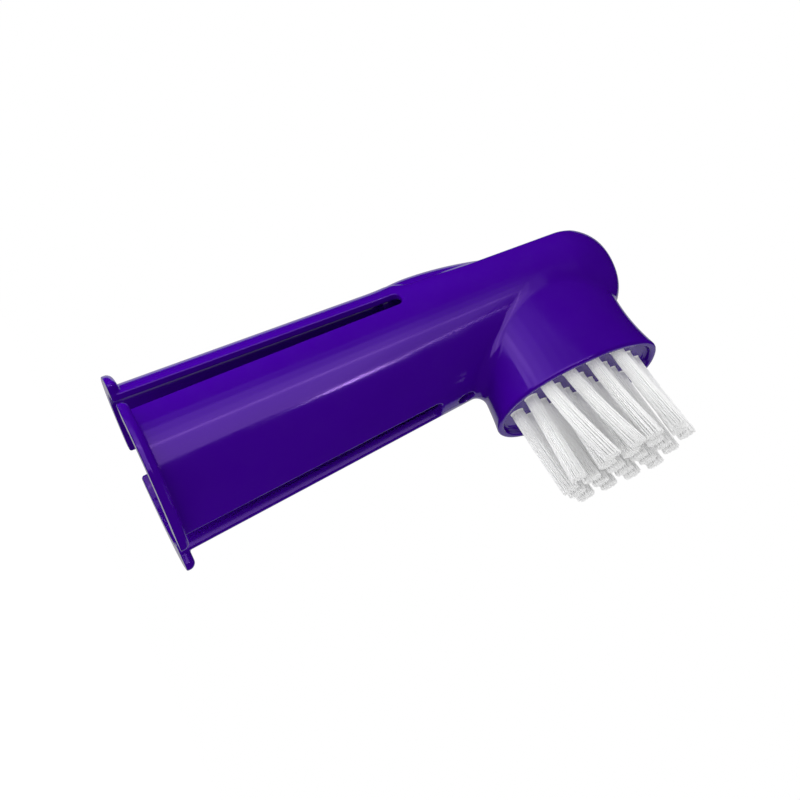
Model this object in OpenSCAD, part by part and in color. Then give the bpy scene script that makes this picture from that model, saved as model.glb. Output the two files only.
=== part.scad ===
// Finger toothbrush: a tapered finger sleeve with three sprung leaves and an oval brush head near its closed tip.
// Frame: millimetres, origin at the centre of the open rim, +Z along the finger towards the tip, +X the way the bristles point.

/* [Sleeve] */
// Overall length from the open rim to the closed tip
overall_length = 59.2; // [57:0.5:64]
// Outside diameter of the sleeve at the open rim
rim_diameter = 20.2; // [19.6:0.2:22.6]
// Taper of the sleeve, each side, in degrees
half_taper = 3.6; // [3.2:0.1:3.9]
// Wall thickness of the sleeve
wall = 1.2; // [1:0.1:1.5]
// Radius of the rounded edge of the closed tip
tip_radius = 4.2; // [2.8:0.2:4.6]

/* [Leaves] */
// Angle round the sleeve of the slot on the bristle side
front_slot_angle = 26.5; // [20:0.5:30]
// Angle round the sleeve of the two slots beside the back leaf
side_slot_angle = 17.5; // [14:0.5:22]
// Distance of the slots' closed ends from the rim
slot_end = 33.5; // [31:0.5:34]
// Outside diameter over the finger lips at the rim
lip_diameter = 24; // [22.6:0.2:24.6]
// Thickness of each finger lip along the sleeve
lip_thickness = 1.2; // [1:0.05:1.6]
// Length of the straight land inside the mouth
mouth_land = 3; // [2:0.5:5]

/* [Brush head] */
// Distance of the head's centre from the rim
head_centre = 48.2; // [47.8:0.1:48.6]
// Length of the oval collar along the finger
collar_length = 20.6; // [20:0.2:21.4]
// Width of the oval collar across the finger
collar_width = 16.6; // [16.4:0.2:18]
// Height of the collar's edge above the sleeve's centre line
collar_height = 12.6; // [12.2:0.1:13.6]
// Depth of the shallow tray that the tufts stand in
tray_depth = 0.7; // [0.5:0.1:1]
// Wall of the collar round the tray
collar_wall = 0.8; // [0.6:0.1:0.9]
// Diameter of the vent hole between slot and collar
vent_diameter = 2; // [1.4:0.1:2.2]

/* [Bristles] */
// Free length of the tufts above the tray
tuft_length = 10.8; // [8:0.1:13]
// Diameter of a tuft where it leaves the tray
tuft_diameter = 1.55; // [1.2:0.05:1.55]
// Diameter of a tuft at its trimmed end
tuft_tip_diameter = 2.15; // [1.6:0.05:2.2]
// Spacing of the tufts along a row
tuft_pitch = 3; // [2.85:0.05:3]
// Spacing of the rows
row_pitch = 2.7; // [2.6:0.05:2.7]
// Depth of the blind tuft holes
hole_depth = 3; // [2.5:0.1:3.2]

/* [Hidden] */
$fn = 96;
rim_r = rim_diameter / 2;
taper = tan(half_taper);
function outer_r(z) = rim_r - taper * z;
// the leaves bend about a line just below the slots' closed ends
bend_z = slot_end - 0.9;
split_gap = 0.3;
mouth_r = rim_r - wall;
lip_r = lip_diameter / 2;
corner = 0.55;
// flat back of the fingertip, and the rounded shoulder that leads down to it
back_x = 0.69 * outer_r(45);
shoulder_z = 36;
shoulder_r = 38;
shoulder_x = -outer_r(shoulder_z) - 0.42 + shoulder_r * cos(half_taper);
// directions of the three slots and half their angles
SLOT_AT = [0, 120, 240];
SLOT_HALF = [front_slot_angle / 2, side_slot_angle / 2, side_slot_angle / 2];
tray_x = collar_height - tray_depth;
hole_r = tuft_diameter / 2 + 0.08;
root_r = hole_r - 0.05;
ROWS = [4, 5, 6, 5, 4];
COUNT = len(ROWS);
// the hinge line of a tuft lies in the tray's surface, and the free bristles start just above it
tuft_lift = 0.35;
function row_y(r) = (r - (COUNT - 1) / 2) * row_pitch;
function tuft_z(r, c) = head_centre + (c - (ROWS[r] - 1) / 2) * tuft_pitch;
PLASTIC = [0.28, 0.02, 0.62];
NYLON = [0.93, 0.93, 0.92];
METAL = [0.78, 0.72, 0.55];

// outline of the sleeve in the plane of its axis, grown inwards by g, from z0 up to the closed tip
function tip_arc(g, n) = let (zt = overall_length - g, rc = tip_radius - g * 0.5, rb = outer_r(overall_length - tip_radius) - g)
    [for (i = [0 : n]) let (a = 90 * i / n) [rb - rc + rc * cos(a), zt - rc - 0.35 + rc * sin(a)]];
module outline(g, z0) {
    polygon(concat([[0, z0], [outer_r(z0) - g, z0]], tip_arc(g, 8), [[0, overall_length - g]]));
}

// everything behind the rounded shoulder and the flat back, moved inwards by g
module back_cut(g) {
    difference() {
        translate([-back_x + g, -20, 45]) rotate([0, 0.7 * half_taper, 0]) translate([-30, 0, shoulder_z - 45]) cube([30, 40, 60]);
        translate([shoulder_x, 0, shoulder_z - shoulder_r * sin(half_taper)]) rotate([90, 0, 0])
            cylinder(r = shoulder_r - g, h = 60, center = true, $fn = 180);
        translate([-40, -30, -40]) cube([80, 60, shoulder_z + 40]);
    }
}

// the finger's space inside the sleeve
module finger_space() {
    difference() {
        rotate_extrude() outline(wall, -1);
        back_cut(wall);
    }
}

// wedge of half angle h, pointing along +X, up to height z
module wedge(h, z) {
    translate([0, 0, -1]) linear_extrude(z + 1)
        polygon([[3 * cos(h), -3 * sin(h)], [20 * cos(h), -20 * sin(h)], [20 * cos(h), 20 * sin(h)], [3 * cos(h), 3 * sin(h)]]);
}

// one slot of half angle h, pointing along +X, with rounded corners at its closed end
module slot_cut(h) {
    inset = asin((corner + 0.02) / (outer_r(slot_end) - wall));
    wedge(h, slot_end - corner);
    wedge(h - inset, slot_end - 0.03);
    for (s = [-1, 1]) rotate([0, 0, s * (h - inset)]) translate([3, 0, slot_end - corner]) rotate([0, 90, 0])
        cylinder(r = corner, h = 17, $fn = 32);
}

// oval boss with a slightly flared, rounded lip, made round and then narrowed across the finger
module collar() {
    a = collar_length / 2;
    k = collar_width / collar_length;
    translate([0, 0, head_centre]) scale([1, k, 1]) rotate([0, 90, 0]) rotate_extrude($fn = 128)
        polygon(concat([[0, 0], [a * 0.94, 0], [a * 0.95, 6]],
            [for (i = [0 : 5]) let (t = i / 5) [a * (0.95 + 0.05 * t * t) - 0.12, 7.5 + (collar_height - 8.3) * t]],
            [for (i = [0 : 5]) let (d = 90 * i / 5) [a - 0.55 + 0.55 * cos(d), collar_height - 0.55 + 0.55 * sin(d)]],
            [[0, collar_height]]));
}

module tray() {
    a = collar_length / 2 - collar_wall;
    b = collar_width / 2 - collar_wall;
    translate([tray_x, 0, head_centre]) scale([1, b / a, 1]) rotate([0, 90, 0]) cylinder(r = a, h = 5, $fn = 128);
}

// closed tip, slot roots and oval brush head of the moulded sleeve
module finger_sleeve() {
    color(PLASTIC) difference() {
        union() {
            difference() {
                rotate_extrude() outline(0, bend_z + split_gap / 2);
                back_cut(0);
            }
            intersection() {
                collar();
                translate([0, -15, 30]) cube([30, 30, overall_length - 30.2]);
            }
        }
        finger_space();
        tray();
        for (i = [0 : 2]) rotate([0, 0, SLOT_AT[i]]) slot_cut(SLOT_HALF[i]);
        translate([4, 0, slot_end + vent_diameter / 2 + 1.9]) rotate([0, 90, 0]) cylinder(d = vent_diameter, h = 12, $fn = 48);
        for (r = [0 : COUNT - 1]) for (c = [0 : ROWS[r] - 1])
            translate([tray_x - hole_depth, row_y(r), tuft_z(r, c)]) rotate([0, 90, 0]) cylinder(r = hole_r, h = hole_depth + 0.05, $fn = 32);
    }
}

// one sprung leaf of the sleeve with its finger lip, between slot i at -60 degrees and slot j at +60 degrees
module leaf(i, j) {
    difference() {
        union() {
            rotate_extrude() polygon([[0, 0], [rim_r, 0], [outer_r(bend_z - split_gap / 2), bend_z - split_gap / 2], [0, bend_z - split_gap / 2]]);
            rotate_extrude() polygon(concat([[0, 0], [lip_r, 0], [lip_r, lip_thickness - 0.9]],
                [for (i = [1 : 6]) let (d = 90 * i / 6) [lip_r - 0.9 + 0.9 * cos(d), lip_thickness - 0.9 + 0.9 * sin(d)]],
                [[0, lip_thickness]]));
        }
        rotate_extrude() polygon([[0, -1], [mouth_r, -1], [mouth_r, mouth_land], [outer_r(bend_z + 1) - wall, bend_z + 1], [0, bend_z + 1]]);
        for (s = [-1, 1]) rotate([0, 0, s * 60]) {
            slot_cut(SLOT_HALF[s < 0 ? i : j]);
            translate([-30, s > 0 ? 0 : -30, -1]) cube([60, 30, slot_end + 2]);
        }
    }
}
module near_leaf() { color(PLASTIC) rotate([0, 0, -60]) leaf(2, 0); }
module far_leaf() { color(PLASTIC) rotate([0, 0, 60]) leaf(0, 1); }
module back_leaf() { color(PLASTIC) rotate([0, 0, 180]) leaf(1, 2); }

// folded lower end of each tuft, held in its blind hole, with the eye that the anchor passes through
module tuft_roots() {
    color(NYLON) for (r = [0 : COUNT - 1]) for (c = [0 : ROWS[r] - 1])
        translate([tray_x - hole_depth, row_y(r), tuft_z(r, c)]) difference() {
            translate([0.05, 0, 0]) rotate([0, 90, 0]) cylinder(r = root_r, h = hole_depth - 0.05, $fn = 32);
            translate([0.5, -2, -0.2]) cube([1.3, 4, 0.4]);
        }
}

// flat metal anchor across each tuft hole
module tuft_anchors() {
    color(METAL) for (r = [0 : COUNT - 1]) for (c = [0 : ROWS[r] - 1])
        translate([tray_x - hole_depth + 0.55, row_y(r) - hole_r + 0.03, tuft_z(r, c) - 0.15]) cube([1.2, 2 * hole_r - 0.06, 0.3]);
}

// free part of one tuft, slightly fanned towards its trimmed end
module tuft(r, c) {
    color(NYLON) translate([tray_x + tuft_lift, row_y(r), tuft_z(r, c)]) rotate([0, 90, 0]) {
        cylinder(r1 = tuft_diameter / 2 - 0.2, r2 = tuft_diameter / 2, h = 0.35, $fn = 32);
        translate([0, 0, 0.35]) cylinder(d1 = tuft_diameter, d2 = tuft_tip_diameter, h = tuft_length - tuft_lift - 0.35, $fn = 32);
    }
}
module bristle_tuft_r1_1() { tuft(0, 0); }
module bristle_tuft_r1_2() { tuft(0, 1); }
module bristle_tuft_r1_3() { tuft(0, 2); }
module bristle_tuft_r1_4() { tuft(0, 3); }
module bristle_tuft_r2_1() { tuft(1, 0); }
module bristle_tuft_r2_2() { tuft(1, 1); }
module bristle_tuft_r2_3() { tuft(1, 2); }
module bristle_tuft_r2_4() { tuft(1, 3); }
module bristle_tuft_r2_5() { tuft(1, 4); }
module bristle_tuft_r3_1() { tuft(2, 0); }
module bristle_tuft_r3_2() { tuft(2, 1); }
module bristle_tuft_r3_3() { tuft(2, 2); }
module bristle_tuft_r3_4() { tuft(2, 3); }
module bristle_tuft_r3_5() { tuft(2, 4); }
module bristle_tuft_r3_6() { tuft(2, 5); }
module bristle_tuft_r4_1() { tuft(3, 0); }
module bristle_tuft_r4_2() { tuft(3, 1); }
module bristle_tuft_r4_3() { tuft(3, 2); }
module bristle_tuft_r4_4() { tuft(3, 3); }
module bristle_tuft_r4_5() { tuft(3, 4); }
module bristle_tuft_r5_1() { tuft(4, 0); }
module bristle_tuft_r5_2() { tuft(4, 1); }
module bristle_tuft_r5_3() { tuft(4, 2); }
module bristle_tuft_r5_4() { tuft(4, 3); }

finger_sleeve();
near_leaf();
far_leaf();
back_leaf();
bristle_tuft_r1_1();
bristle_tuft_r1_2();
bristle_tuft_r1_3();
bristle_tuft_r1_4();
bristle_tuft_r2_1();
bristle_tuft_r2_2();
bristle_tuft_r2_3();
bristle_tuft_r2_4();
bristle_tuft_r2_5();
bristle_tuft_r3_1();
bristle_tuft_r3_2();
bristle_tuft_r3_3();
bristle_tuft_r3_4();
bristle_tuft_r3_5();
bristle_tuft_r3_6();
bristle_tuft_r4_1();
bristle_tuft_r4_2();
bristle_tuft_r4_3();
bristle_tuft_r4_4();
bristle_tuft_r4_5();
bristle_tuft_r5_1();
bristle_tuft_r5_2();
bristle_tuft_r5_3();
bristle_tuft_r5_4();
tuft_roots();
tuft_anchors();
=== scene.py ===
import math

import bmesh
import bpy
import numpy as np
from mathutils import Matrix, Vector


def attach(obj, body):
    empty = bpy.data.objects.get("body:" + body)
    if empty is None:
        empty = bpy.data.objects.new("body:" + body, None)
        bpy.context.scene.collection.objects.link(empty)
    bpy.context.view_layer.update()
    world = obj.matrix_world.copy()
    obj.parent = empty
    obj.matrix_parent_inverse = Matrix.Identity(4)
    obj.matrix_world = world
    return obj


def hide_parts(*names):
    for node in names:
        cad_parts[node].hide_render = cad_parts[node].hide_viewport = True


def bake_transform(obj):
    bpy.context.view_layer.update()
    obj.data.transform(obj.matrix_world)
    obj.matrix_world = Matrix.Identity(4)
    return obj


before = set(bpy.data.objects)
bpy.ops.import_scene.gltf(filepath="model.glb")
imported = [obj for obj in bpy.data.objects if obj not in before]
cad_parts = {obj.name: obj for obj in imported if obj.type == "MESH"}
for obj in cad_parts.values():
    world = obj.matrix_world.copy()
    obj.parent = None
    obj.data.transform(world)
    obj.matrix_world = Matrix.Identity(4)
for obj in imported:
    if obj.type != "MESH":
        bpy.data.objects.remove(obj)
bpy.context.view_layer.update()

MM = 0.001

# ---------------------------------------------------------------- sizes, in mm, as in the CAD frame
RIM_R, TAPER, LENGTH, WALL, TIP_R = 10.1, math.tan(math.radians(3.6)), 59.2, 1.2, 4.2
SLOT_END, LIP_R, LIP_T = 33.5, 12.0, 1.2
BEND_Z = SLOT_END - 0.9
HEAD_Z, TRAY_X, RIM_X = 48.2, 11.9, 12.6
TUFT_TIP_X = TRAY_X + 10.8
PITCH, ROW_PITCH, ROWS = 3.0, 2.7, (4, 5, 6, 5, 4)
VENT_Z, VENT_R = SLOT_END + 1.0 + 1.9, 1.0
SHOULDER_Z, SHOULDER_R, SHOULDER_UP = 36.0, 38.0, 0.42
# direction of each slot, half its angle at the rim and how fast that falls, and its closed end's distance
SLOTS = ((0.0, 13.25, 0.0, 33.2), (120.0, 9.9, 0.067, 33.7), (240.0, 9.9, 0.067, 33.7))
TUFTS = [
    (r, c, (r - 2) * ROW_PITCH, HEAD_Z + (c - (n - 1) / 2) * PITCH)
    for r, n in enumerate(ROWS)
    for c in range(n)
]


# ---------------------------------------------------------------- distance field of the moulded sleeve
def rmax(a, b, r):
    """Both at once, with their edge rounded to radius r."""
    u, v = np.maximum(a + r, 0), np.maximum(b + r, 0)
    return np.minimum(np.maximum(a, b), -r) + np.sqrt(u * u + v * v)


def rmin(a, b, r):
    """Either one, with a fillet of radius r where they meet."""
    u, v = np.maximum(r - a, 0), np.maximum(r - b, 0)
    return np.maximum(np.minimum(a, b), r) - np.sqrt(u * u + v * v)


def oval(y, z, a, b, n):
    """About how far a point is outside the oval of half axes a along Z and b along Y."""
    p, q = np.abs(z) / a + 1e-6, np.abs(y) / b + 1e-6
    f = (p**n + q**n) ** (1 / n)
    g = f ** (1 - n) * np.sqrt((p ** (n - 1) / a) ** 2 + (q ** (n - 1) / b) ** 2)
    return (f - 1) / np.maximum(g, 1e-3)


def boss_axes(x, z):
    """Half axes of the oval boss, which flares towards its rim, and more so on the side of the tip."""
    t, u = np.clip((x - 6.5) / (RIM_X - 6.5), 0, 1), np.clip((x - 6.0) / (RIM_X - 6.0), 0, 1)
    return np.where(z > HEAD_Z, 9.1 + 1.15 * u * u, 9.75 + 0.5 * t * t), 8.22 - 0.12 * (RIM_X - np.maximum(x, -3.0))


def field(p):
    """Signed distance from the sleeve's surface, in mm, at points p of shape (n, 3)."""
    x, y, z = p[:, 0], p[:, 1], p[:, 2]
    r = np.sqrt(x * x + y * y)
    cone = (r - (RIM_R - TAPER * z)) * 0.9978
    # back of the fingertip: a rounder patch that swells a little, then dips below a flat chord
    rise = np.clip((z - 31.0) / 5.0, 0, 1)
    rise = rise * rise * (3 - 2 * rise)
    beyond = np.maximum(z - SHOULDER_Z, 0)
    r0 = RIM_R - TAPER * z
    swell = SHOULDER_UP * rise - beyond**2 / (2 * SHOULDER_R)
    patch = (np.hypot(x + 0.09 * r0 + swell, y) - 0.91 * r0) / np.sqrt(1 + (TAPER + beyond / SHOULDER_R) ** 2)
    patch = np.maximum(patch, x)
    chord = -(x + 5.1 - 0.045 * (z - 45.0) + 4.0 * (1 - rise))
    side = rmin(rmax(cone, chord, 0.55), patch, 0.35)
    body = rmax(side, z - (LENGTH - 0.03 * r * r - 0.016 * np.maximum(x - 2, 0) ** 2), TIP_R)
    a, b = boss_axes(x, z)
    boss = rmax(oval(y, z - HEAD_Z, a, b, 2.25), x - RIM_X, 0.4)
    boss = np.maximum(boss, -x - 2)
    # crisp crease along the flanks and over the tip, a rounder one underneath
    k, w = np.clip((x - 4.0) / 4.0, 0, 1), np.clip((z - HEAD_Z) / 4.0, 0, 1)
    outer = rmin(body, boss, 0.3 + (1.1 - 0.7 * w) * k * k * (3 - 2 * k))
    gap = np.full_like(x, -1e3)
    slots = np.full_like(x, 1e3)
    for deg, half, fall, end in SLOTS:
        c, s = math.cos(math.radians(deg)), math.sin(math.radians(deg))
        w, u = x * c + y * s, np.abs(-x * s + y * c)
        h = np.radians(half - fall * z)
        side = np.maximum(u * np.cos(h) - w * np.sin(h), -w)
        gap = np.maximum(gap, -side)
        slots = np.minimum(slots, rmax(side, z - end, 0.75))
    lip_r = LIP_R - 0.5 * np.clip((-x - 3.0) / 4.0, 0, 1)
    lip = rmax(rmax(r - lip_r, z - LIP_T, 0.85), gap, 0.9)
    outer = rmin(outer, lip, 0.2)
    shell = rmax(outer, -(body + WALL), 0.15)
    shell = rmax(shell, -z, 0.12)
    shell = rmax(shell, -slots, 0.3)
    near = (x > 1) & (z > 30)
    v = shell[near]
    xs, ys, zs = x[near], y[near], z[near]
    vent = np.maximum(np.hypot(ys, zs - VENT_Z) - VENT_R, 2 - xs)
    v = rmax(v, -vent, 0.18)
    a, b = boss_axes(xs, zs)
    tray = rmax(oval(ys, zs - HEAD_Z, a - 0.85, b - 0.85, 2.25), TRAY_X - xs, 0.25)
    v = rmax(v, -tray, 0.3)
    hole = np.full_like(xs, 1e3)
    for _, _, ty, tz in TUFTS:
        hole = np.minimum(hole, np.hypot(ys - ty, zs - tz))
    hole = np.maximum(hole - 0.855, (TRAY_X - 3.0) - xs)
    hole = np.maximum(hole, xs - TRAY_X - 0.1)
    v = rmax(v, -hole, 0.06)
    shell[near] = v
    return shell


def field_of(p, chunk=400_000):
    return np.concatenate([field(p[i : i + chunk]) for i in range(0, len(p), chunk)])


def gradient(p, e=0.02):
    g = np.empty_like(p)
    for k in range(3):
        d = np.zeros(3)
        d[k] = e
        g[:, k] = field_of(p + d) - field_of(p - d)
    return g / np.maximum(np.linalg.norm(g, axis=1, keepdims=True), 1e-9)


def surface(low, high, h):
    """The field's zero surface as (points, quads), by surface nets, with each point then moved onto it."""
    n = [int(math.ceil((b - a) / h)) + 1 for a, b in zip(low, high)]
    axes = [low[k] + h * np.arange(n[k]) for k in range(3)]
    f = np.empty(n, np.float32)
    for i in range(n[0]):
        yy, zz = np.meshgrid(axes[1], axes[2], indexing="ij")
        f[i] = field(
            np.stack([np.full(yy.size, axes[0][i]), yy.ravel(), zz.ravel()], 1)
        ).reshape(yy.shape)
    s = f < 0
    count = np.zeros([k - 1 for k in n], np.uint8)
    for i in (0, 1):
        for j in (0, 1):
            for k in (0, 1):
                count += s[i : n[0] - 1 + i, j : n[1] - 1 + j, k : n[2] - 1 + k]
    cells = np.argwhere((count > 0) & (count < 8))
    index = np.full(count.shape, -1, np.int64)
    index[tuple(cells.T)] = np.arange(len(cells))
    total, many = np.zeros((len(cells), 3)), np.zeros(len(cells))
    for axis in range(3):
        for i in (0, 1):
            for j in (0, 1):
                a = np.insert(np.array([i, j]), axis, 0)
                b = np.insert(np.array([i, j]), axis, 1)
                fa, fb = f[tuple((cells + a).T)], f[tuple((cells + b).T)]
                m = (fa < 0) != (fb < 0)
                t = fa[m] / (fa[m] - fb[m])
                total[m] += a + t[:, None] * (b - a)
                many[m] += 1
    points = np.array(low) + h * (cells + total / many[:, None])
    quads = []
    for axis in range(3):
        o = [k for k in range(3) if k != axis]
        first = [slice(None)] * 3
        second = [slice(None)] * 3
        first[axis], second[axis] = slice(0, n[axis] - 1), slice(1, n[axis])
        sa, sb = s[tuple(first)], s[tuple(second)]
        e = np.argwhere(sa != sb)
        e = e[(e[:, o[0]] > 0) & (e[:, o[1]] > 0) & (e[:, o[0]] < n[o[0]] - 1) & (e[:, o[1]] < n[o[1]] - 1)]
        inside = sa[tuple(e.T)]
        ring = []
        for da, db in ((-1, -1), (0, -1), (0, 0), (-1, 0)):
            q = e.copy()
            q[:, o[0]] += da
            q[:, o[1]] += db
            ring.append(index[tuple(q.T)])
        ring = np.stack(ring, 1)
        flip = inside if axis != 1 else ~inside
        ring[~flip] = ring[~flip][:, ::-1]
        quads.append(ring)
    quads = np.concatenate(quads)
    # even the quads out along the surface, so that no face stands across a rounded edge
    a, b = quads.ravel(), np.roll(quads, -1, 1).ravel()
    many = np.bincount(a, minlength=len(points)) + np.bincount(b, minlength=len(points))
    for turn in range(6):
        d = field_of(points)
        g = gradient(points)
        points -= np.clip(d, -0.5 * h, 0.5 * h)[:, None] * g
        if turn < 4:
            mean = np.stack([np.bincount(a, points[b, k], len(points)) + np.bincount(b, points[a, k], len(points)) for k in range(3)], 1)
            move = mean / many[:, None] - points
            points += 0.5 * (move - (move * g).sum(1)[:, None] * g)
    return points, quads


def new_mesh(name, points, faces, normals=None, caps=None):
    """An object from points in mm."""
    m = bpy.data.meshes.new(name)
    m.from_pydata((np.asarray(points) * MM).tolist(), [], np.asarray(faces).tolist() if isinstance(faces, np.ndarray) else faces)
    m.validate(clean_customdata=False)
    m.shade_smooth()
    o = bpy.data.objects.new(name, m)
    bpy.context.scene.collection.objects.link(o)
    return o


def finish_normals(o):
    """Exact normals of the field on the moulded surface, and flat ones on the faces of a cut."""
    m = o.data
    n = len(m.vertices)
    co = np.empty(n * 3)
    m.vertices.foreach_get("co", co)
    co = co.reshape(-1, 3)
    g = gradient(co / MM)
    loops = np.empty(len(m.loops), np.int64)
    m.loops.foreach_get("vertex_index", loops)
    normal = g[loops]
    fn = np.empty(len(m.polygons) * 3)
    m.polygons.foreach_get("normal", fn)
    fn = fn.reshape(-1, 3)
    start = np.empty(len(m.polygons), np.int64)
    size = np.empty(len(m.polygons), np.int64)
    m.polygons.foreach_get("loop_start", start)
    m.polygons.foreach_get("loop_total", size)
    on = np.abs(co[:, 2] - BEND_Z * MM) < 1e-7
    face_of = np.repeat(np.arange(len(start)), size)
    flat = (np.abs(fn[:, 2]) > 0.99) & (np.add.reduceat(on[loops].astype(int), start) == size)
    normal[flat[face_of]] = fn[face_of][flat[face_of]]
    m.normals_split_custom_set(normal.tolist())


H = 0.16
points, quads = surface((-12.3, -12.3, -0.5), (13.1, 12.3, 60.0), H)
whole = new_mesh("whole_sleeve", points, quads)


def cut(source, name, keep_above):
    """A copy of the moulding on one side of the bend plane, closed where it was cut."""
    bm = bmesh.new()
    bm.from_mesh(source.data)
    z = BEND_Z * MM
    bmesh.ops.bisect_plane(
        bm,
        geom=bm.verts[:] + bm.edges[:] + bm.faces[:],
        plane_co=(0, 0, z),
        plane_no=(0, 0, 1),
        clear_inner=keep_above,
        clear_outer=not keep_above,
    )
    for v in bm.verts:
        if abs(v.co.z - z) < 1e-6:
            v.co.z = z
    rim = [e for e in bm.edges if e.is_boundary]
    made = bmesh.ops.triangle_fill(bm, edges=rim, use_beauty=False, use_dissolve=False, normal=(0, 0, -1 if keep_above else 1))
    want = -1 if keep_above else 1
    for g in made["geom"]:
        if isinstance(g, bmesh.types.BMFace):
            g.normal_update()
            if g.normal.z * want < 0:
                g.normal_flip()
    m = bpy.data.meshes.new(name)
    bm.to_mesh(m)
    bm.free()
    m.shade_smooth()
    o = bpy.data.objects.new(name, m)
    bpy.context.scene.collection.objects.link(o)
    return o


def sector(source, name, deg):
    """The faces of source that lie within 60 degrees of a direction round the Z axis."""
    bm = bmesh.new()
    bm.from_mesh(source.data)
    c, s = math.cos(math.radians(deg)), math.sin(math.radians(deg))
    away = [v for v in bm.verts if v.co.x * c + v.co.y * s < 0.5 * math.hypot(v.co.x, v.co.y)]
    bmesh.ops.delete(bm, geom=away, context="VERTS")
    m = bpy.data.meshes.new(name)
    bm.to_mesh(m)
    bm.free()
    m.shade_smooth()
    o = bpy.data.objects.new(name, m)
    bpy.context.scene.collection.objects.link(o)
    return o


sleeve = cut(whole, "sleeve_moulding", True)
leaves = cut(whole, "all_leaves", False)
leaf = {
    n: sector(leaves, f"{n}_leaf_moulding", d)
    for n, d in (("near", -60), ("far", 60), ("back", 180))
}
for o in (whole, leaves):
    m = o.data
    bpy.data.objects.remove(o)
    bpy.data.meshes.remove(m)
for o in (sleeve, *leaf.values()):
    finish_normals(o)


# ---------------------------------------------------------------- bristles
def bundle(name, ty, tz, seed, lean):
    """One tuft of nylon filaments, fanned a little and trimmed flat."""
    rng = np.random.default_rng(seed)
    # hexagonal packing of the filaments in the hole
    step, radius = 0.148, 0.70
    base = []
    for i in range(-6, 7):
        for j in range(-6, 7):
            u, v = step * (i + 0.5 * (j % 2)), step * 0.866 * j
            if math.hypot(u, v) < radius:
                base.append((u, v))
    base = np.array(base) + rng.normal(0, 0.008, (len(base), 2))
    fan = 1.40 + 0.05 * rng.normal()
    tip = base * fan + rng.normal(0, 0.032, base.shape) + np.array(lean)
    sides, rings = 6, 9
    verts, faces = [], []
    ang = np.arange(sides) * 2 * math.pi / sides
    for k in range(len(base)):
        end = TUFT_TIP_X + rng.uniform(-0.07, 0.05)
        start = TRAY_X - 0.06
        rad = 0.087 + rng.normal(0, 0.002)
        bow = rng.normal(0, 0.022, 2)
        ts = np.concatenate([np.linspace(0, 1, rings), [1, 1]])
        xs = np.concatenate([np.linspace(start, end - 0.05, rings), [end - 0.015, end]])
        rs = np.concatenate([np.full(rings, rad), [rad * 0.8, rad * 0.42]])
        s0 = len(verts)
        turn = rng.uniform(0, 2 * math.pi)
        for t, xx, rr in zip(ts, xs, rs):
            c = base[k] + (tip[k] - base[k]) * t**1.25 + bow * math.sin(math.pi * t)
            for a in ang + turn:
                verts.append((xx, ty + c[0] + rr * math.cos(a), tz + c[1] + rr * math.sin(a)))
        m = len(ts)
        for i in range(m - 1):
            for j in range(sides):
                a, b = s0 + i * sides + j, s0 + i * sides + (j + 1) % sides
                faces.append((a, b, b + sides, a + sides))
        faces.append(tuple(s0 + (m - 1) * sides + j for j in range(sides)))
        faces.append(tuple(s0 + j for j in reversed(range(sides))))
    o = new_mesh(name, verts, faces)
    return o


# how far the trimmed ends of the tufts nearest the eye stand over, across and along the head
LEAN = {(2, 0): (0.5, 1.1), (1, 0): (0.07, 0.15), (0, 0): (0.5, 2.6), (0, 1): (0.3, 2.8), (0, 2): (0.05, 1.9), (0, 3): (0.6, 1.95)}
tufts = []
for i, (r, c, ty, tz) in enumerate(TUFTS):
    n = ROWS[r]
    along = (c - (n - 1) / 2) / 2.5
    lean = LEAN.get((r, c), (0.2 + 0.1 * (r - 2), 0.9 + 0.15 * along))
    o = bundle(f"filaments_r{r + 1}_{c + 1}", ty, tz, 100 + i, lean)
    tufts.append((o, r, c))


# ---------------------------------------------------------------- materials
def material(name):
    m = bpy.data.materials.new(name)
    m.use_nodes = True
    nt = m.node_tree
    nt.nodes.clear()
    out = nt.nodes.new("ShaderNodeOutputMaterial")
    bsdf = nt.nodes.new("ShaderNodeBsdfPrincipled")
    nt.links.new(bsdf.outputs[0], out.inputs[0])
    return m, nt, bsdf


def node(nt, kind, **values):
    n = nt.nodes.new(kind)
    for k, v in values.items():
        if hasattr(n, k) and k not in n.inputs:
            setattr(n, k, v)
        else:
            n.inputs[k.replace("_", " ") if k.replace("_", " ") in n.inputs else k].default_value = v
    return n


def ramp(nt, stops):
    n = nt.nodes.new("ShaderNodeValToRGB")
    e = n.color_ramp.elements
    while len(e) > 1:
        e.remove(e[-1])
    e[0].position, e[0].color = stops[0]
    for p, c in stops[1:]:
        k = e.new(p)
        k.color = c
    return n


# glossy violet polypropylene: faint flow marks, moulding haze, fine rub marks
plastic, nt, bsdf = material("violet_polypropylene")
coord = nt.nodes.new("ShaderNodeTexCoord")
flow = node(nt, "ShaderNodeTexNoise", Scale=140.0, Detail=4.0, Roughness=0.55)
stretch = nt.nodes.new("ShaderNodeMapping")
stretch.inputs["Scale"].default_value = (1.0, 1.0, 0.35)
nt.links.new(coord.outputs["Object"], stretch.inputs["Vector"])
nt.links.new(stretch.outputs[0], flow.inputs["Vector"])
tint = ramp(nt, [(0.3, (0.0295, 0.0002, 0.192, 1)), (0.7, (0.0330, 0.0003, 0.212, 1))])
nt.links.new(flow.outputs[0], tint.inputs[0])
nt.links.new(tint.outputs[0], bsdf.inputs["Base Color"])
haze = node(nt, "ShaderNodeTexNoise", Scale=420.0, Detail=6.0, Roughness=0.6)
nt.links.new(coord.outputs["Object"], haze.inputs["Vector"])
rough = node(nt, "ShaderNodeMapRange")
rough.inputs["From Min"].default_value = 0.3
rough.inputs["From Max"].default_value = 0.7
rough.inputs["To Min"].default_value = 0.08
rough.inputs["To Max"].default_value = 0.14
nt.links.new(haze.outputs[0], rough.inputs["Value"])
nt.links.new(rough.outputs[0], bsdf.inputs["Roughness"])
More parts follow.
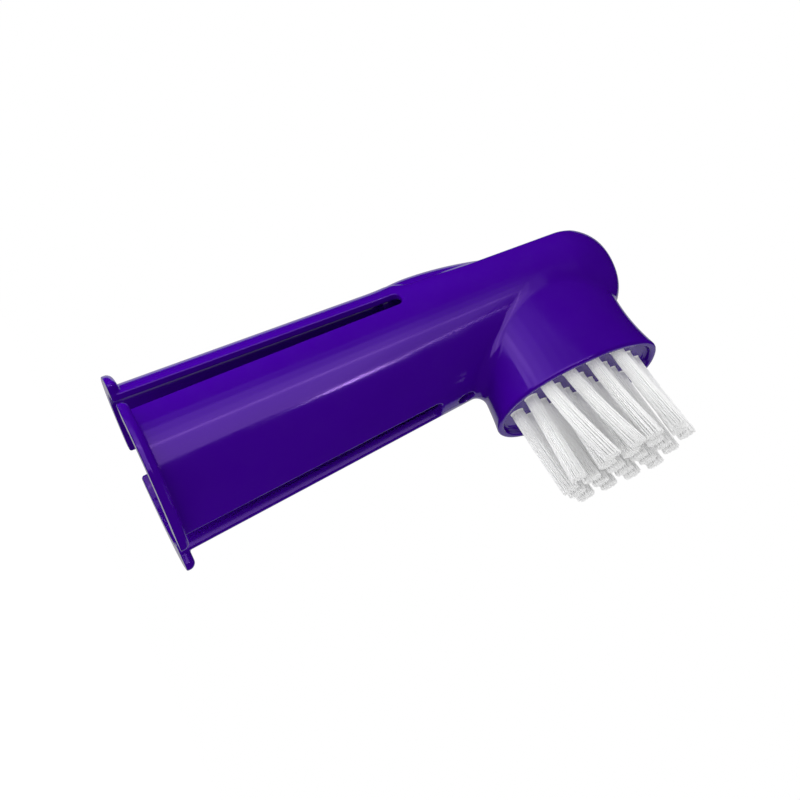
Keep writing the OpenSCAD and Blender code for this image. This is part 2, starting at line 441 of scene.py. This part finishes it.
grain = node(nt, "ShaderNodeTexNoise", Scale=2600.0, Detail=3.0, Roughness=0.5)
nt.links.new(coord.outputs["Object"], grain.inputs["Vector"])
wave = node(nt, "ShaderNodeTexNoise", Scale=90.0, Detail=2.0, Roughness=0.4)
nt.links.new(coord.outputs["Object"], wave.inputs["Vector"])
b1 = nt.nodes.new("ShaderNodeBump")
b1.inputs["Strength"].default_value = 0.06
b1.inputs["Distance"].default_value = 0.00002
nt.links.new(grain.outputs[0], b1.inputs["Height"])
b2 = nt.nodes.new("ShaderNodeBump")
b2.inputs["Strength"].default_value = 0.18
b2.inputs["Distance"].default_value = 0.0001
nt.links.new(wave.outputs[0], b2.inputs["Height"])
nt.links.new(b1.outputs[0], b2.inputs["Normal"])
nt.links.new(b2.outputs[0], bsdf.inputs["Normal"])
bsdf.inputs["IOR"].default_value = 1.49
bsdf.inputs["Specular Tint"].default_value = (0.60, 0.32, 1.0, 1)
bsdf.inputs["Subsurface Weight"].default_value = 0.0

# milky nylon filament, a little translucent, with streaks along the strands, and a painted glow: emission strongest
# at the roots and weakest at the trimmed ends, which paints light into the shade between the tufts
nylon, nt, bsdf = material("white_nylon_filament")
coord = nt.nodes.new("ShaderNodeTexCoord")
streak = nt.nodes.new("ShaderNodeMapping")
streak.inputs["Scale"].default_value = (0.12, 1.0, 1.0)
nt.links.new(coord.outputs["Object"], streak.inputs["Vector"])
strand = node(nt, "ShaderNodeTexNoise", Scale=3200.0, Detail=3.0, Roughness=0.5)
nt.links.new(streak.outputs[0], strand.inputs["Vector"])
tint = ramp(nt, [(0.3, (0.82, 0.82, 0.82, 1)), (0.7, (0.88, 0.88, 0.88, 1))])
nt.links.new(strand.outputs[0], tint.inputs[0])
nt.links.new(tint.outputs[0], bsdf.inputs["Base Color"])
rough = node(nt, "ShaderNodeMapRange")
rough.inputs["To Min"].default_value = 0.45
rough.inputs["To Max"].default_value = 0.6
nt.links.new(strand.outputs[0], rough.inputs["Value"])
nt.links.new(rough.outputs[0], bsdf.inputs["Roughness"])
bsdf.inputs["IOR"].default_value = 1.53
bsdf.inputs["Subsurface Weight"].default_value = 0.35
bsdf.inputs["Subsurface Scale"].default_value = 0.0012
bsdf.inputs["Subsurface Radius"].default_value = (1.0, 1.0, 0.95)
# painted light: the filaments emit a faint glow of their own, more at the roots than at the tips, lifting the shade
# in the gaps between tufts
bsdf.inputs["Emission Color"].default_value = (1.0, 1.0, 0.99, 1)
split = nt.nodes.new("ShaderNodeSeparateXYZ")
nt.links.new(coord.outputs["Object"], split.inputs[0])
painted_glow = node(nt, "ShaderNodeMapRange")
painted_glow.inputs["From Min"].default_value = TRAY_X * MM
painted_glow.inputs["From Max"].default_value = TUFT_TIP_X * MM
painted_glow.inputs["To Min"].default_value = 0.12
painted_glow.inputs["To Max"].default_value = 0.03
nt.links.new(split.outputs[0], painted_glow.inputs["Value"])
nt.links.new(painted_glow.outputs[0], bsdf.inputs["Emission Strength"])

# rolled metal strip of the anchors
metal, nt, bsdf = material("anchor_strip")
coord = nt.nodes.new("ShaderNodeTexCoord")
roll = nt.nodes.new("ShaderNodeMapping")
roll.inputs["Scale"].default_value = (0.1, 1.0, 1.0)
nt.links.new(coord.outputs["Object"], roll.inputs["Vector"])
lines = node(nt, "ShaderNodeTexNoise", Scale=6000.0, Detail=3.0, Roughness=0.5)
nt.links.new(roll.outputs[0], lines.inputs["Vector"])
tint = ramp(nt, [(0.3, (0.62, 0.58, 0.50, 1)), (0.7, (0.75, 0.71, 0.62, 1))])
nt.links.new(lines.outputs[0], tint.inputs[0])
nt.links.new(tint.outputs[0], bsdf.inputs["Base Color"])
rough = node(nt, "ShaderNodeMapRange")
rough.inputs["To Min"].default_value = 0.25
rough.inputs["To Max"].default_value = 0.45
nt.links.new(lines.outputs[0], rough.inputs["Value"])
nt.links.new(rough.outputs[0], bsdf.inputs["Roughness"])
bsdf.inputs["Metallic"].default_value = 1.0


def dress(o, mat):
    o.data.materials.clear()
    o.data.materials.append(mat)


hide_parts("finger_sleeve")
dress(sleeve, plastic)
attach(sleeve, "sleeve")
for n, o in leaf.items():
    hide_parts(f"{n}_leaf")
    dress(o, plastic)
    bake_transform(o)
for o, r, c in tufts:
    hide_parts(f"bristle_tuft_r{r + 1}_{c + 1}")
    dress(o, nylon)
    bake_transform(o)
for n, mat in (("tuft_roots", nylon), ("tuft_anchors", metal)):
    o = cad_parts[n]
    o.data.materials.clear()
    o.data.materials.append(mat)

# ---------------------------------------------------------------- floor, light, camera
floor_mat, nt, bsdf = material("pale_floor")
bsdf.inputs["Base Color"].default_value = (0.5, 0.5, 0.5, 1)
bsdf.inputs["Roughness"].default_value = 0.9
bsdf.inputs["Specular IOR Level"].default_value = 0.0
bsdf.inputs["Emission Color"].default_value = (1, 1, 1, 1)
bsdf.inputs["Emission Strength"].default_value = 1.0
bm = bmesh.new()
bmesh.ops.create_circle(bm, cap_ends=True, radius=4.0, segments=96)
fm = bpy.data.meshes.new("floor")
bm.to_mesh(fm)
bm.free()
floor = bpy.data.objects.new("floor", fm)
floor.location = (0, 0, -0.012)
fm.materials.append(floor_mat)
bpy.context.scene.collection.objects.link(floor)
floor.visible_glossy = False
floor.visible_diffuse = False

world = bpy.data.worlds.new("studio")
bpy.context.scene.world = world
world.use_nodes = True
world.node_tree.nodes["Background"].inputs[0].default_value = (1, 1, 1, 1)
world.node_tree.nodes["Background"].inputs[1].default_value = 1.0
world.cycles_visibility.glossy = False

# camera: object axes as seen by it (x right, y down, z forward)
F_PX, T_MM = 1663.652, (-28.492, 8.015, 184.285)
ROLL, TILT, SPIN = math.radians(24.202), math.radians(11.132), math.radians(21.045)
a = Vector((math.cos(ROLL), -math.sin(ROLL), 0))
d = Vector((math.sin(ROLL), math.cos(ROLL), 0))
fwd = Vector((0, 0, 1))
Zc = a * math.cos(TILT) + fwd * math.sin(TILT)
toward = -fwd * math.cos(TILT) + a * math.sin(TILT)
Xc = d * math.cos(SPIN) + toward * math.sin(SPIN)
Yc = Zc.cross(Xc)
M = Matrix((Xc, Yc, Zc)).transposed()  # columns are the object's axes in the camera's frame
right, down, ahead = (Vector(M[i]) for i in range(3))
T = Vector(T_MM) * MM
place = -(M.transposed() @ T)
cam_data = bpy.data.cameras.new("camera")
cam = bpy.data.objects.new("camera", cam_data)
cam_data.sensor_width = 36
cam_data.lens = 36 * F_PX / 800
cam_data.clip_start = 0.005
cam_data.clip_end = 20
rot = Matrix((right, -down, -ahead)).transposed()
cam.matrix_world = Matrix.Translation(place) @ rot.to_4x4()
bpy.context.scene.collection.objects.link(cam)
bpy.context.scene.camera = cam

centre = Vector((0.003, 0, 0.030))


def lamp(name, direction, distance, size, power, glossy=True, shift=(0, 0), aim=centre):
    """A soft box. direction is (right, up, toward the camera) in the photograph's frame."""
    v = (right * direction[0] - down * direction[1] - ahead * direction[2]).normalized()
    data = bpy.data.lights.new(name, "AREA")
    data.shape = "RECTANGLE"
    data.size, data.size_y = size
    data.energy = power
    o = bpy.data.objects.new(name, data)
    back = v
    along = (right * a.x + down * a.y).normalized()
    xaxis = (along - back * along.dot(back)).normalized()
    yaxis = back.cross(xaxis)
    where = aim + v * distance + xaxis * shift[0] + yaxis * shift[1]
    o.matrix_world = Matrix.Translation(where) @ Matrix((xaxis, yaxis, back)).transposed().to_4x4()
    o.visible_glossy = glossy
    o.visible_camera = False
    bpy.context.scene.collection.objects.link(o)
    return o


KEY = (-0.15, 0.45, 1.0)


def panel(name, x0, x1, y0, y1, radiance):
    """A strip of the key softbox's face, in mm from its centre, which only shows in reflections."""
    w, h = (x1 - x0) * MM, (y1 - y0) * MM
    o = lamp(name, KEY, 0.45, (w, h), math.pi * w * h * radiance, shift=((x0 + x1) / 2 * MM, (y0 + y1) / 2 * MM))
    o.visible_diffuse = False
    return o


def strip(name, x0, y0, x1, y1, width, radiance):
    """A thin bright line on the softbox's face from one point to another, in mm."""
    w, h = math.hypot(x1 - x0, y1 - y0) * MM, width * MM
    o = lamp(name, KEY, 0.449, (w, h), math.pi * w * h * radiance, shift=((x0 + x1) / 2 * MM, (y0 + y1) / 2 * MM))
    o.matrix_world = o.matrix_world @ Matrix.Rotation(math.atan2(y1 - y0, x1 - x0), 4, "Z")
    o.visible_diffuse = False
    return o


# rows of the softbox from its lower edge up, each as (x0, x1, radiance) pieces
for i, (y0, y1, pieces) in enumerate(
    (
        (-225, -9, ((-290, 225, 2.4), (225, 285, 1.6))),
        (-9, 11, ((-290, 225, 5.6), (225, 285, 3.6))),
        (11, 90, ((-290, 225, 2.1), (225, 285, 1.3))),
        (90, 180, ((-290, -60, 1.6), (-60, 150, 1.5), (150, 225, 1.2), (225, 285, 0.6))),
        (180, 262, ((-640, -520, 0.5), (-520, -400, 1.3), (-400, -300, 2.3), (-300, -220, 3.0), (-220, -110, 1.7), (-110, -20, 1.2), (-20, 70, 0.7), (70, 150, 0.45), (150, 225, 0.25), (225, 285, 0.2))),
        (262, 274, ((-640, -520, 0.5), (-520, -400, 1.3), (-400, -300, 2.3), (-300, -220, 3.0), (-220, -110, 1.7), (-110, -20, 1.2), (-20, 70, 0.7), (70, 150, 0.9), (150, 225, 0.6), (225, 285, 0.4))),
    )
):
    for j, (x0, x1, radiance) in enumerate(pieces):
        panel(f"softbox_{i}_{j}", x0, x1, y0, y1, radiance)
strip("softbox_rim_1", 230, -257, 250, -222, 7.0, 110.0)
strip("softbox_rim_3", 250, -224, 262, -212, 6.0, 14.0)
strip("softbox_rim_2", 262, -212, 299, -138, 5.0, 18.0)
panel("highlight", -430, -330, 274, 400, 2.6)
lamp("top_fill", (-0.2, 1.0, 0.1), 0.5, (0.6, 0.5), 1.15, glossy=False)
lamp("rim_fill", (-0.9, 1.0, 0.25), 0.075, (0.05, 0.05), 0.135, glossy=False, aim=Vector((0, 0, 0.008)))
lamp("back_panel", (0.0, 0.0, -1.0), 0.6, (0.7, 0.7), 0.7)
low = lamp("low_card", (0.29, -0.64, -0.77), 0.5, (0.6, 0.17), 0.14)
low.visible_diffuse = False

view = bpy.context.scene.view_settings
view.view_transform = "Standard"
view.look = "None"
view.exposure = 0.0
view.gamma = 1.0
